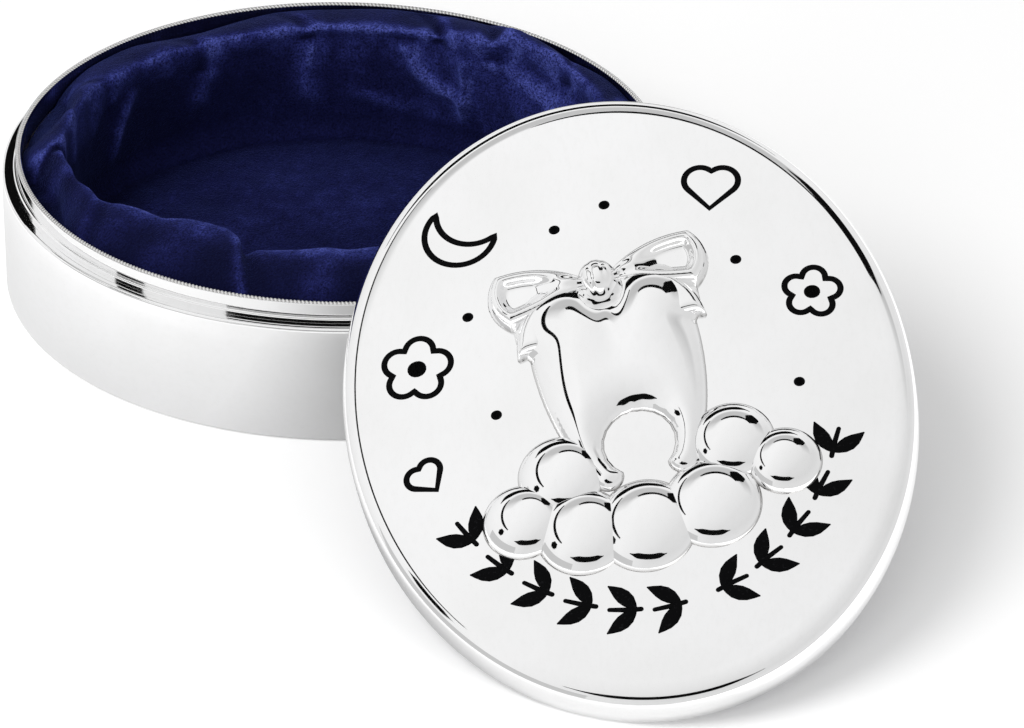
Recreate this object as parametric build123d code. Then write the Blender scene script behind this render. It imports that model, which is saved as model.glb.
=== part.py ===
import math
import os

from build123d import *

# An oval keepsake box for a first tooth, in millimetres. X runs along the box and Y across it, and the
# underside stands at zero height. The lid has been lifted off and leans on the front of the box.

# Outer size
length = 55.0
width = 44.5

# Cup
wall_height = 11.15
cup_wall = 1.0
floor_thickness = 0.9
foot_round = 0.45
ledge_round = 0.3
corner_round = 0.4

# Neck ring, which the lid slips over
neck_rise = 1.8
neck_wall = 0.6
neck_round = 0.2
bead_height = 0.45
bead_width = 0.12

# Running and seating gaps
seat_gap = 0.05
lid_clearance = 0.12

# Lining of the cup: card, wadding and velvet
card = 0.5
wadding = 1.9
velvet = 1.3
pad_rise = 1.9
velvet_dip = 0.45
card_drop = 2.4
roll_width = 4.2
roll_rise = 0.9
roll_drop = 1.6
pad_crown = 0.5
pad_gap = 0.25

# Each fold of the velvet roll: its turn in degrees, how far the roll reaches in before and after the
# fold, and how high it stands there, as shares of the roll's width and rise.
fold_turns = (22, 47, 68, 122, 180, 255, 318)
reach_before_shares = (0.90, 1.00, 0.98, 0.92, 1.12, 1.16, 0.96)
reach_after_shares = (0.98, 0.84, 0.90, 0.98, 0.86, 0.88, 1.06)
rise_before_shares = (1.0, 1.5, 1.1, 0.2, 0.8, 1.1, 0.9)
rise_after_shares = (1.5, 1.2, 0.3, 0.4, 0.4, 0.3, 0.4)
middle_reach_share = 1.04
middle_rise_share = 0.8
section_turn = 12

# Lid
lid_metal = 0.7
skirt_height = 2.95
shoulder_round = 1.15
panel_inset = 1.35
panel_rise = 1.35
lid_inner_inset = 2.3
lid_card = 0.35
lid_wadding = 0.35
lid_velvet = 0.35

# Where the lid lies: its slope, the compass turn of the slope, the turn of its long axis on the slope, the
# side of the box on which its middle is, and how near its edge comes to the box
lean = 24.5
lean_turn = -13.5
lid_turn = 117.5
lid_side = -51.23
rim_gap = 0.23
near_enough = 0.002

# Raised motif of the lid: a tooth tied with a bow, standing in a cloud. Outlines run through arcs, each
# by its start, middle and end, as shares of the half width and half height.
relief_root = 0.3
relief_corner_share = 0.023
tooth_width = 13.6
tooth_tall_share = 1.4
tooth_up = 0.8
tooth_rise = 1.15
tooth_round_share = 0.055
tooth_shares = ((0.62, -0.90), (0.90, -0.30), (0.98, 0.35), (0.78, 0.98), (0, 0.80), (-0.78, 0.98),
                (-0.98, 0.35), (-0.90, -0.30), (-0.62, -0.90), (-0.44, -1.0), (-0.26, -0.86),
                (0, -0.34), (0.26, -0.86), (0.44, -1.0))
bow_width = 17.5
bow_tall_share = 0.366
bow_up = 9.6
bow_rise = 1.5
bow_round_share = 0.031
loop_shares = ((0.05, 0), (0.40, 0.62), (0.90, 0.80), (1.0, 0), (0.86, -0.72), (0.42, -0.46))
tail_shares = ((0.10, 0), (0.42, -0.70), (0.46, -1.75), (0.66, -1.55), (0.86, -1.60), (0.74, -0.60),
               (0.34, 0.10), (0.22, 0.12))
knot_radius = 1.7
cloud_width = 27.0
cloud_up = -9.6
puff_rise = 1.25
puff_shares = ((-0.76, 0.02, 0.24), (-0.48, 0.24, 0.26), (-0.44, -0.14, 0.28), (-0.08, -0.20, 0.30),
               (0.32, -0.16, 0.29), (0.52, 0.20, 0.25), (0.78, 0, 0.22))

# Engraved motifs, filled with black enamel. Each has its place right of and up from the lid's middle, its
# size and its turn in degrees.
engraving = 0.3
enamel_sink = 0.04
stroke = 0.5
heart_right, heart_up, heart_lobe, heart_turn = 10.4, 15.8, 1.5, -15
little_heart_right, little_heart_up, little_heart_lobe, little_heart_turn = -16.6, -3.4, 1.1, 24
moon_right, moon_up, moon_size, moon_turn = -9.6, 17.4, 3.1, 24
moon_hollow_share = 0.86
moon_shift_share = 0.62
flower_right, flower_up, flower_size = -15.4, 6.4, 3.0
little_flower_right, little_flower_up, little_flower_size = 16.0, 4.6, 2.5
petals = 5
petal_share = 0.46
eye_share = 0.24
dot_radius = 0.42
dot_places_shares = ((0.12, 0.86), (-0.14, 0.80), (-0.64, 0.50), (0.66, 0.46), (0.80, -0.16), (-0.62, 0.02))
garland_room = 3.0
garland_stem = 0.42
garland_start, garland_end = 210, 330
leaf_pairs = 11
stem_length = 2.9
leaf_length = 2.9
leaf_width = 1.25
leaf_turn = 42

half_length = length / 2
half_width = width / 2
neck_outer = cup_wall + seat_gap
neck_inner = neck_outer + neck_wall
neck_top = wall_height + neck_rise
bead_outer = neck_outer - bead_width
skirt_wall = bead_outer - lid_clearance
card_outer = neck_inner + seat_gap
card_inner = card_outer + card
wadding_outer = card_inner + seat_gap
wadding_inner = wadding_outer + wadding
velvet_outer = wadding_inner + seat_gap
velvet_inner = velvet_outer + velvet
card_top = neck_top - card_drop
cloud_drop_share = max(size - y for x, y, size in puff_shares)
garland_width = cloud_width + 2 * garland_room
garland_height = cloud_width * cloud_drop_share + 2 * (garland_room - cloud_up)
tooth_height = tooth_width * tooth_tall_share
bow_height = bow_width * bow_tall_share
relief_corner = bow_width * relief_corner_share
tooth_round = tooth_width * tooth_round_share
bow_round = bow_width * bow_round_share
# The lid's motifs stand along its long axis.
upright = Rot(0, 0, 90)


def oval(inset):
    return Ellipse(half_length - inset, half_width - inset)


def block(inset, bottom, top):
    return Pos(0, 0, bottom) * extrude(oval(inset), top - bottom)


def band(outer, inner, bottom, top):
    return block(outer, bottom, top) - block(inner, bottom, top)


def lowest(solid):
    return solid.edges().group_by(Axis.Z)[0]


def highest(solid):
    return solid.edges().group_by(Axis.Z)[-1]


def base_cup():
    outside = block(0, 0, wall_height)
    outside = fillet(lowest(outside), foot_round)
    outside = fillet(highest(outside), ledge_round)
    inside = block(cup_wall, floor_thickness, wall_height)
    return outside - fillet(lowest(inside), corner_round)


def neck_ring():
    shell = block(neck_outer, floor_thickness, neck_top)
    shell = fillet(highest(shell), neck_round)
    shell = chamfer(lowest(shell), corner_round)
    foot = block(bead_outer, wall_height, wall_height + bead_height)
    foot = fillet(highest(foot), bead_width)
    return shell + foot - block(neck_inner, floor_thickness, neck_top)


def wall_card():
    return band(card_outer, card_inner, floor_thickness, card_top)


def wall_wadding():
    return band(wadding_outer, wadding_inner, floor_thickness, card_top)


def rim_point(inset, height, turn):
    across, along = math.sin(turn), math.cos(turn)
    return Vector((half_length - inset) * along, (half_width - inset) * across, height)


def roll_section(turn, reach_share, rise_share):
    # The velvet starts under the milled rim, rolls over the card and wadding and runs down to the floor.
    top = neck_top - velvet_dip
    tuck = card_top + seat_gap
    crest_reach = neck_inner + roll_width * reach_share
    crest = neck_top + roll_rise * rise_share
    shoulder = neck_top + roll_rise * rise_share / 2
    brow = rim_point((card_outer + crest_reach) / 2, crest, turn)
    nose = rim_point(crest_reach, shoulder, turn)
    chin = rim_point((crest_reach + velvet_inner) / 2, neck_top - roll_drop, turn)
    edge = rim_point(card_outer, top, turn)
    back = rim_point(card_outer, tuck, turn)
    hook = rim_point(velvet_outer, tuck, turn)
    heel = rim_point(velvet_outer, floor_thickness, turn)
    toe = rim_point(velvet_inner, floor_thickness, turn)
    return Wire([
        Edge.make_three_point_arc(edge, brow, nose),
        Edge.make_line(nose, chin),
        Edge.make_line(chin, toe),
        Edge.make_line(toe, heel),
        Edge.make_line(heel, hook),
        Edge.make_line(hook, back),
        Edge.make_line(back, edge),
    ])


def velvet_wall():
    # The cloth is pleated where it turns: each length between two folds swells in its middle.
    lengths = []
    for i, start in enumerate(fold_turns):
        after = (i + 1) % len(fold_turns)
        end = fold_turns[after] if after else fold_turns[after] + 360
        steps = max(2, round((end - start) / section_turn))
        sections = []
        for step in range(steps + 1):
            share = step / steps
            swell = math.sin(math.pi * share)
            reach = reach_after_shares[i] * (1 - share) + reach_before_shares[after] * share
            rise = rise_after_shares[i] * (1 - share) + rise_before_shares[after] * share
            reach += (middle_reach_share - reach) * swell / 2
            rise += (middle_rise_share - rise) * swell / 2
            sections.append(roll_section(math.radians(start + (end - start) * share), reach, rise))
        lengths.append(Solid.make_loft(sections))
    return lengths[0].fuse(*lengths[1:])


def floor_card():
    return block(velvet_inner + pad_gap + velvet / 2, floor_thickness, floor_thickness + card)


def floor_wadding():
    bottom = floor_thickness + card
    top = floor_thickness + pad_rise - velvet / 2
    return block(velvet_inner + pad_gap + velvet / 2, bottom, top)


def velvet_floor():
    # The velvet is drawn over the card and its wadding, and its top crowns a little.
    top = floor_thickness + pad_rise
    edge = velvet_inner + pad_gap
    cover = block(edge, floor_thickness, top)
    cover = fillet(highest(cover), velvet / 3)
    crown = dome(edge + velvet / 2, top, pad_crown)
    hollow = block(edge + velvet / 2, floor_thickness, top - velvet / 2)
    return cover + crown - hollow


def ball_radius(reach, rise):
    # Radius of the ball whose cap has this reach and rise
    return (reach * reach + rise * rise) / (2 * rise)


def dome(inset, height, rise):
    # A gentle cap on the inset oval: its top falls off with the square of the way from the middle.
    along = rise * (half_length / (half_length - inset)) ** 2
    across = rise * (half_width / (half_width - inset)) ** 2
    top = height + rise
    sheet = [[(half_length * i, half_width * j, top + along * (1 - 2 * abs(i)) + across * (1 - 2 * abs(j)))
              for j in (-1, 0, 1)] for i in (-1, 0, 1)]
    below = extrude(Face.make_bezier_surface(sheet), height, dir=(0, 0, -1))
    return block(inset, height - rise, height + 2 * rise) & below


def panel_height(right, up):
    # Height of the lid's top panel above its open side, at a place right of and up from its middle
    fall = (up / (half_length - panel_inset)) ** 2 + (right / (half_width - panel_inset)) ** 2
    return skirt_height + panel_rise * (1 - fall)


def lid_blank():
    outside = block(0, 0, skirt_height)
    outside = fillet(highest(outside), shoulder_round)
    outside = outside + dome(panel_inset, skirt_height, panel_rise)
    ceiling = skirt_height - lid_metal
    inside = block(skirt_wall, 0, ceiling)
    inside = fillet(highest(inside), shoulder_round - lid_metal)
    return upright * (outside - inside - dome(lid_inner_inset, ceiling, panel_rise))


def on_panel(shape, right, up, rise):
    # Stands a flat outline in the lid's top panel, its top the rise above the panel at that place.
    return Pos(right, up, panel_height(right, up) - relief_root) * extrude(shape, relief_root + rise)


def arc_outline(shares, half_wide, half_high):
    # A closed outline of arcs through every two further points of the shares
    points = [(half_wide * x, half_high * y) for x, y in shares]
    points.append(points[0])
    arcs = [ThreePointArc(*points[i:i + 3]) for i in range(0, len(points) - 2, 2)]
    return make_face(Curve() + arcs)


def raised(shares, half_wide, half_high, up, rise, radius):
    # A raised form of the relief with softened corners and a rounded upper edge
    outline = arc_outline(shares, half_wide, half_high)
    outline = fillet(outline.vertices(), relief_corner)
    return rounded(on_panel(outline, 0, up, rise), radius)


def rounded(solid, radius):
    return fillet(highest(solid), radius)


def tooth():
    return raised(tooth_shares, tooth_width / 2, tooth_height / 2, tooth_up, tooth_rise, tooth_round)


def bow():
    half_wide, half_high = bow_width / 2, bow_height / 2
    right_side = [raised(shares, half_wide, half_high, bow_up, bow_rise, bow_round)
                  for shares in (loop_shares, tail_shares)]
    left_side = [mirror(piece, Plane.YZ) for piece in right_side]
    return right_side + left_side + [mound(0, bow_up, knot_radius, bow_rise + bow_round)]


def mound(right, up, radius, rise):
    # A round swelling of the panel with the radius at its foot
    whole = ball_radius(radius, rise)
    foot = panel_height(right, up)
    ball = Pos(right, up, foot + rise - whole) * Sphere(whole)
    return ball & Pos(right, up, foot - relief_root) * extrude(Circle(whole), relief_root + rise)


def cloud():
    half = cloud_width / 2
    return [mound(half * x, cloud_up + half * y, half * size, puff_rise) for x, y, size in puff_shares]


def heart_area(lobe):
    side = lobe + lobe
    lobes = Pos(0, lobe) * Circle(lobe) + Pos(lobe, 0) * Circle(lobe)
    return Rot(0, 0, 45) * (Rectangle(side, side) + lobes)


def heart(lobe):
    return heart_area(lobe) - heart_area(lobe - stroke)


def crescent(radius, bite_radius, size):
    return Circle(radius) - Pos(size * moon_shift_share, size * moon_shift_share / 2) * Circle(bite_radius)


def moon(size):
    bite_radius = size * moon_hollow_share
    return crescent(size, bite_radius, size) - crescent(size - stroke, bite_radius + stroke, size)


def rosette(size, radius):
    whole = Circle(radius)
    for i in range(petals):
        whole += Rot(0, 0, i * 360 / petals) * Pos(0, size * (1 - petal_share)) * Circle(radius)
    return whole


def flower(size):
    radius = size * petal_share
    return rosette(size, radius) - rosette(size, radius - stroke) + Circle(size * eye_share)


def leaf():
    half_long, half_wide = leaf_length / 2, leaf_width / 2
    upper = ThreePointArc((0, 0), (half_long, half_wide), (leaf_length, 0))
    lower = ThreePointArc((leaf_length, 0), (half_long, -half_wide), (0, 0))
    return make_face(Curve() + [upper, lower])


def sprig():
    stem = Pos(stem_length / 2 - leaf_width / 2, 0) * SlotOverall(stem_length, garland_stem)
    return stem + Rot(0, 0, leaf_turn) * leaf() + Rot(0, 0, -leaf_turn) * leaf()


def motifs():
    # Each engraved motif with its place right of and up from the lid's middle, and its turn
    half_wide, half_high = garland_width / 2, garland_height / 2
    placed = [
        (heart(heart_lobe), heart_right, heart_up, heart_turn),
        (heart(little_heart_lobe), little_heart_right, little_heart_up, little_heart_turn),
        (moon(moon_size), moon_right, moon_up, moon_turn),
        (flower(flower_size), flower_right, flower_up, 0),
        (flower(little_flower_size), little_flower_right, little_flower_up, 0),
    ]
    for right, up in dot_places_shares:
        placed.append((Circle(dot_radius), half_wide * right, half_high * up, 0))
    # The garland's sprigs follow the lower edge of the lid, and grow away from its middle on both sides.
    for i in range(leaf_pairs):
        turn = math.radians(garland_start + (garland_end - garland_start) * i / (leaf_pairs - 1))
        right, up = half_wide * math.cos(turn), half_high * math.sin(turn)
        along = math.degrees(math.atan2(half_high * math.cos(turn), -half_wide * math.sin(turn)))
        placed.append((sprig(), right, up, along if i >= leaf_pairs / 2 else along + 180))
    return placed


def engraved(shape, right, up, turn, height):
    # A motif's prism from the floor of its groove, square to the panel where the motif lies
    lean_right = 2 * panel_rise * right / (half_width - panel_inset) ** 2
    lean_up = 2 * panel_rise * up / (half_length - panel_inset) ** 2
    spot = Plane(origin=(right, up, panel_height(right, up)), x_dir=(1, 0, -lean_right),
                 z_dir=(lean_right, lean_up, 1))
    return spot.offset(-engraving).location * Rot(0, 0, turn) * extrude(shape, height)


def lid_shell():
    shell = lid_blank()
    relief = [tooth()] + bow() + cloud()
    shell = shell.fuse(*relief)
    return shell.cut(*[engraved(*placed, engraving + panel_rise) for placed in motifs()])


def enamel_fill():
    return [engraved(*placed, engraving - enamel_sink) for placed in motifs()]


def lid_card_disc():
    ceiling = skirt_height - lid_metal
    return upright * block(card_outer + lid_card, ceiling - lid_card, ceiling)


def lid_wadding_pad():
    top = skirt_height - lid_metal - lid_card
    return upright * block(card_outer + lid_card + lid_velvet, top - lid_wadding, top)


def lid_velvet_pad():
    top = skirt_height - lid_metal - lid_card
    bottom = top - lid_wadding - lid_velvet
    edge = card_outer + lid_card
    cover = block(edge, bottom, top)
    cover = fillet(lowest(cover), lid_velvet / 2)
    return upright * (cover - block(edge + lid_velvet, bottom + lid_velvet, top))


def lid_lying(reach):
    # The lid's open side, its middle that far from the box's middle. The lid lies on its low edge, so that
    # middle stands as high as the oval reaches down.
    slope, compass, turn = math.radians(lean), math.radians(lean_turn), math.radians(lid_turn)
    side = math.radians(lid_side)
    up = Vector(math.sin(slope) * math.sin(compass), -math.sin(slope) * math.cos(compass), math.cos(slope))
    level = Vector(math.cos(compass), math.sin(compass), 0)
    rising = up.cross(level)
    long_axis = level * math.cos(turn) + rising * math.sin(turn)
    short_axis = up.cross(long_axis)
    height = math.hypot(half_length * long_axis.Z, half_width * short_axis.Z)
    middle = (reach * math.cos(side), reach * math.sin(side), height)
    return Plane(origin=middle, x_dir=-short_axis, z_dir=up).location


def lid_place():
    # The lid is pushed up to the box from afar, by the room that is left each time.
    rim = Pos(0, 0, neck_top) * oval(neck_outer).edge()
    ledge = Pos(0, 0, wall_height) * oval(0).edge()
    edge = upright * oval(0).edge()
    reach = length + width
    room = reach
    while room > near_enough:
        lying = lid_lying(reach) * edge
        room = min(lying.distance_to(rim), lying.distance_to(ledge)) - rim_gap
        reach -= room
    return lid_lying(reach)


def save(name, shape):
    solids = shape if isinstance(shape, list) else [shape]
    export_step(Compound([solid for piece in solids for solid in piece.solids()]), f"parts/{name}.step")


os.makedirs("parts", exist_ok=True)
save("base_cup", base_cup())
save("neck_ring", neck_ring())
save("wall_card", wall_card())
save("wall_wadding", wall_wadding())
save("velvet_wall", velvet_wall())
save("floor_card", floor_card())
save("floor_wadding", floor_wadding())
save("velvet_floor", velvet_floor())
place = lid_place()
save("lid_shell", place * lid_shell())
save("enamel_fill", [place * piece for piece in enamel_fill()])
save("lid_card", place * lid_card_disc())
save("lid_wadding", place * lid_wadding_pad())
save("lid_velvet", place * lid_velvet_pad())
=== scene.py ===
import math

import bmesh
import bpy
import numpy as np
from mathutils import Matrix, Vector, noise


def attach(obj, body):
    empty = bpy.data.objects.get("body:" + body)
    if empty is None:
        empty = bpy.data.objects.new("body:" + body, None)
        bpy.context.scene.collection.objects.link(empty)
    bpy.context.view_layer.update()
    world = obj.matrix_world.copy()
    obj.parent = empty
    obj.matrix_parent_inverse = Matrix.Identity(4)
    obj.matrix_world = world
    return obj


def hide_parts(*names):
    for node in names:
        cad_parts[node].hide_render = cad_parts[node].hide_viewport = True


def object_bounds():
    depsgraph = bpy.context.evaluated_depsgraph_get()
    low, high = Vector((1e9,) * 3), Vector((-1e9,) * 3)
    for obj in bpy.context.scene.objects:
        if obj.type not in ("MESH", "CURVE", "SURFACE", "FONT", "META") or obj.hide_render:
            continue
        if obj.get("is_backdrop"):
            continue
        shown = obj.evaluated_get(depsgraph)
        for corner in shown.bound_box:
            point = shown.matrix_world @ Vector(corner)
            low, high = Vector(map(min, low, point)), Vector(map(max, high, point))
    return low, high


# A silver-plated oval keepsake box, open, with its lid leaning on the front of it. Lengths in the
# dictionaries are millimetres, as on the workbench, and the meshes are written in metres.

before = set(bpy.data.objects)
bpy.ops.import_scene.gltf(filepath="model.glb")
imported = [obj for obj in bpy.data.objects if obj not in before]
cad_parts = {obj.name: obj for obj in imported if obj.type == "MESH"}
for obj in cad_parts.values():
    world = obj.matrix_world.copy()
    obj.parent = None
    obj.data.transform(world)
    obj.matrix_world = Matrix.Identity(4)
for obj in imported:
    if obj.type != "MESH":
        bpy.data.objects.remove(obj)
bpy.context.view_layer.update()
mm = 0.001
box = dict(halfLength=27.5, halfWidth=22.25, wallHeight=11.15, floor=0.9)


# Finishes

class Wire:
    # A socket of a node tree. Sums and products of wires add Math nodes.
    def __init__(self, sheet, socket):
        self.sheet, self.socket = sheet, socket

    def maths(self, operation, first, second):
        return self.sheet.node("Math", dict(operation=operation), {0: first, 1: second})

    def __add__(self, other):
        return self.maths("ADD", self, other)

    def __radd__(self, other):
        return self.maths("ADD", other, self)

    def __sub__(self, other):
        return self.maths("SUBTRACT", self, other)

    def __rsub__(self, other):
        return self.maths("SUBTRACT", other, self)

    def __mul__(self, other):
        return self.maths("MULTIPLY", self, other)

    def __rmul__(self, other):
        return self.maths("MULTIPLY", other, self)


class Sheet:
    # The node tree of a new material, or of the world, with one call for any node
    def __init__(self, name, finish=None, world=None):
        self.owner = world or bpy.data.materials.new(name)
        self.owner.use_nodes = True
        self.tree = self.owner.node_tree
        self.shader = self.tree.nodes["Background" if world else "Principled BSDF"]
        self.set(finish or {})

    def put(self, socket, value):
        if isinstance(value, Wire):
            self.tree.links.new(value.socket, socket)
        else:
            socket.default_value = value

    def set(self, finish):
        for name, value in finish.items():
            self.put(self.shader.inputs[name], value)

    def node(self, kind, settings=None, values=None, out=0):
        made = self.tree.nodes.new("ShaderNode" + kind)
        for key, value in (settings or {}).items():
            if key == "stops":
                ramp = made.color_ramp
                while len(ramp.elements) < len(value):
                    ramp.elements.new(0.5)
                for element, (place, colour) in zip(ramp.elements, value):
                    element.position, element.color = place, colour
            else:
                setattr(made, key, value)
        for key, value in (values or {}).items():
            self.put(made.inputs[key], value)
        return Wire(self, made.outputs[out])

    def place(self):
        return self.node("TexCoord", out="Object")

    def axis(self, vector, name):
        return self.node("SeparateXYZ", None, {0: vector}, name)

    def painted(self, name):
        # A value that the mesh carries at its vertices
        return self.node("Attribute", dict(attribute_name=name), None, "Fac")

    def grain(self, size, detail=2.0, rough=0.5, stretch=None):
        # Noise whose lumps are about that many millimetres across
        where = self.place()
        if stretch:
            where = self.node("Mapping", None, {"Vector": where, "Scale": stretch})
        return self.node("TexNoise", None, {"Vector": where, "Scale": 1 / (size * mm), "Detail": detail,
                                            "Roughness": rough}, "Fac")

    def ramp(self, value, stops):
        return self.node("ValToRGB", dict(stops=stops), {"Fac": value}, "Color")

    def spread(self, value, low, high, to=(0.0, 1.0)):
        return self.node("MapRange", None, {"Value": value, "From Min": low, "From Max": high,
                                            "To Min": to[0], "To Max": to[1]})

    def mix(self, share, first, second):
        made = self.tree.nodes.new("ShaderNodeMix")
        made.data_type = "RGBA"
        for key, value in (("Factor_Float", share), ("A_Color", first), ("B_Color", second)):
            self.put(next(s for s in made.inputs if s.identifier == key), value)
        return Wire(self, next(s for s in made.outputs if s.identifier == "Result_Color"))

    def bump(self, height, strength, depth):
        return self.node("Bump", None, {"Height": height, "Strength": strength, "Distance": depth * mm},
                         "Normal")

    def onRays(self, first, *others):
        # 1 on the rays of these kinds
        share = self.node("LightPath", out=first)
        for kind in others:
            ray = self.node("LightPath", out=kind)
            share = self.node("Math", dict(operation="MAXIMUM"), {0: share, 1: ray})
        return share


def grey(value, blue=0.0):
    return (value, value, value + blue, 1.0)


def silverPlate(name, bright, haze, creaseShaded=False):
    # Polished plate: nearly even, with a faint haze, rubbed patches and a slow waviness of the pressed sheet
    sheet = Sheet(name, {"Metallic": 1.0})
    cloudy = sheet.spread(sheet.grain(9.0, 3.0), 0.38, 0.68)
    rubbed = sheet.spread(sheet.grain(0.5, 3.0, 0.6, (1.0, 0.3, 1.0)), 0.45, 0.75)
    colour = sheet.mix(cloudy, grey(bright, 0.004), grey(bright - 0.03))
    colour = sheet.mix(rubbed * 0.25, colour, grey(bright - 0.08, -0.004))
    if creaseShaded:  # painted shade in the creases
        colour = sheet.mix(sheet.painted("crease") * 0.8, colour, (0.3, 0.29, 0.28, 1.0))
    sheet.set({"Base Color": colour, "Roughness": 0.028 + haze * cloudy * 0.6 + rubbed * 0.02,
               "Normal": sheet.bump(sheet.grain(5.0, 1.0), 0.12, 0.05)})
    return sheet.owner


def blueVelvet(name):
    # Short pile: very dark where it is looked into, with a painted blue sheen on its lit folds, painted shade in its
    # hollows, and rubbed patches
    sheet = Sheet(name, {"Sheen Weight": 0.24, "Sheen Roughness": 0.34, "Sheen Tint": (0.14, 0.2, 0.78, 1.0),
                         "Specular IOR Level": 0.05, "Roughness": 0.85})
    crest = sheet.painted("crest")
    pile = sheet.grain(0.16, 2.0, 0.7)
    brushed = sheet.spread(sheet.grain(4.5, 4.0, 0.62, (1.0, 1.0, 0.45)), 0.47, 0.72)
    stroke = sheet.spread(sheet.grain(1.3, 3.0, 0.6), 0.42, 0.7)
    # The vertices' crest is painted light: high for a painted sheen on lit folds, low for painted shade. The brushed
    # patches add real crushed tone.
    paintedLightAndTone = crest * (0.62 + 0.5 * stroke) + brushed * (0.05 + 0.45 * crest) + 0.05
    colour = sheet.ramp(paintedLightAndTone, [(0.0, (0.0022, 0.003, 0.0145, 1)), (0.3, (0.0105, 0.0128, 0.074, 1)),
                                (0.65, (0.032, 0.041, 0.215, 1)), (1.0, (0.08, 0.102, 0.43, 1))])
    colour = sheet.mix(sheet.spread(pile, 0.35, 0.7), colour, (0.002, 0.002, 0.014, 1))
    sheet.set({"Base Color": colour, "Normal": sheet.bump(pile * 1.3 + stroke * 0.4, 0.9, 0.13)})
    return sheet.owner


def blackEnamel(name):
    # Fired fill: glossy black with small dusty pits
    sheet = Sheet(name, {"Coat Weight": 0.02, "Coat Roughness": 0.1, "Specular IOR Level": 0.03})
    pits = sheet.spread(sheet.grain(0.22, 2.0), 0.6, 0.72)
    flow = sheet.grain(1.1, 2.0)
    sheet.set({"Base Color": sheet.mix(pits, (0.0012, 0.0012, 0.0015, 1), (0.006, 0.006, 0.007, 1)),
               "Roughness": 0.16 + 0.2 * flow + 0.25 * pits,
               "Normal": sheet.bump(flow - pits * 0.3, 0.35, 0.05)})
    return sheet.owner


def fibrous(name, finish, grain, dark, light, strength, depth):
    # Dull stuff of loose fibres, the card and the wadding
    sheet = Sheet(name, finish)
    fibre = sheet.grain(*grain)
    sheet.set({"Base Color": sheet.ramp(fibre, [(0.3, dark), (0.7, light)]),
               "Normal": sheet.bump(fibre, strength, depth)})
    return sheet.owner


velvetCloth = blueVelvet("navyVelvet")
cupSilver = silverPlate("cupSilver", 0.945, 0.03)
neckSilver = silverPlate("neckSilver", 0.94, 0.03, creaseShaded=True)
lidSilver = silverPlate("lidSilver", 0.955, 0.025, creaseShaded=True)
enamelBlack = blackEnamel("enamelBlack")
boardGrey = fibrous("linerBoard", {"Roughness": 0.9}, (0.4, 4.0, 0.7, (1.0, 0.25, 1.0)),
                    (0.36, 0.33, 0.28, 1), (0.52, 0.49, 0.43, 1), 0.4, 0.05)
fibreWhite = fibrous("linerWadding", {"Roughness": 0.95, "Sheen Weight": 0.3}, (0.6, 5.0, 0.75),
                     (0.66, 0.66, 0.64, 1), (0.86, 0.86, 0.85, 1), 0.9, 0.2)
print("finishes made")


# Tools for the meshes

def meshFrom(shape, name, material):
    mesh = bpy.data.meshes.new(name)
    shape.to_mesh(mesh)
    shape.free()
    mesh.materials.append(material)
    return mesh


def linked(name, data):
    piece = bpy.data.objects.new(name, data)
    bpy.context.scene.collection.objects.link(piece)
    return piece


def objectFrom(shape, name, material, body, slotName, *nodes):
    bmesh.ops.recalc_face_normals(shape, faces=shape.faces)
    mesh = meshFrom(shape, name, material)
    for face in mesh.polygons:
        face.use_smooth = True
    piece = linked(name, mesh)
    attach(piece, body)
    if nodes:
        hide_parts(*nodes)
    return piece


def onOval(inset, height, turn):
    return Vector(((box["halfLength"] - inset) * math.cos(turn) * mm,
                   (box["halfWidth"] - inset) * math.sin(turn) * mm, height * mm))


def ovalTurned(section, rows, steps, attribute=None):
    # A closed section drawn round the oval: columns of a grid stand at its turns, rows at the section's places.
    # Each place is an inset, a height and, with an attribute, its value. The grid's ends meet and are joined.
    shape = bmesh.new()
    layer = shape.verts.layers.float.new(attribute) if attribute else None
    bmesh.ops.create_grid(shape, x_segments=steps, y_segments=rows, size=0.5)
    drawn = [section(2 * math.pi * column / steps) for column in range(steps)]
    seam = []
    for vert in shape.verts:
        column, row = round((vert.co.x + 0.5) * steps), round((vert.co.y + 0.5) * rows)
        if column in (0, steps) or row in (0, rows):
            seam.append(vert)
        spot = drawn[column % steps][row % rows]
        if layer:
            vert[layer] = spot[2]
        vert.co = onOval(spot[0], spot[1], 2 * math.pi * (column % steps) / steps)
    bmesh.ops.remove_doubles(shape, verts=seam, dist=1e-8)
    return shape


def ovalGrid(cells, inset, upright=False):
    # A square grid drawn out to the oval. Its long way is X, or Y where it is upright, as on the lid.
    shape = bmesh.new()
    bmesh.ops.create_grid(shape, x_segments=cells, y_segments=cells, size=1.0)
    halfLong, halfShort = box["halfLength"] - inset, box["halfWidth"] - inset
    for vert in shape.verts:
        x, y = vert.co.xy
        vert.co = Vector((x * math.sqrt(1 - y * y / 2) * halfLong, y * math.sqrt(1 - x * x / 2) * halfShort, 0))
    if upright:
        quarter = Matrix.Rotation(math.pi / 2, 3, "Z")
        bmesh.ops.rotate(shape, verts=shape.verts, cent=(0, 0, 0), matrix=quarter)
    return shape


def openEdges(shape):
    return [edge for edge in shape.edges if edge.is_boundary]


def vertsOf(made):
    return [item for item in made if isinstance(item, bmesh.types.BMVert)]


def edgesOf(made):
    return [item for item in made if isinstance(item, bmesh.types.BMEdge)]


def closeRows(shape, rows, upright=False, gridInset=0.0):
    # Extrudes the open edge through rows of inset and height round the oval, and closes the last
    alongX, alongY = box["halfLength"], box["halfWidth"]
    if upright:
        alongX, alongY = alongY, alongX
    ring = openEdges(shape)
    for inset, height in rows:
        made = bmesh.ops.extrude_edge_only(shape, edges=ring)["geom"]
        ring = edgesOf(made)
        for vert in vertsOf(made):
            turn = math.atan2(vert.co.y / (alongY - gridInset), vert.co.x / (alongX - gridInset))
            vert.co = Vector(((alongX - inset) * math.cos(turn), (alongY - inset) * math.sin(turn), height))
    bmesh.ops.holes_fill(shape, edges=ring, sides=0)


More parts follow.
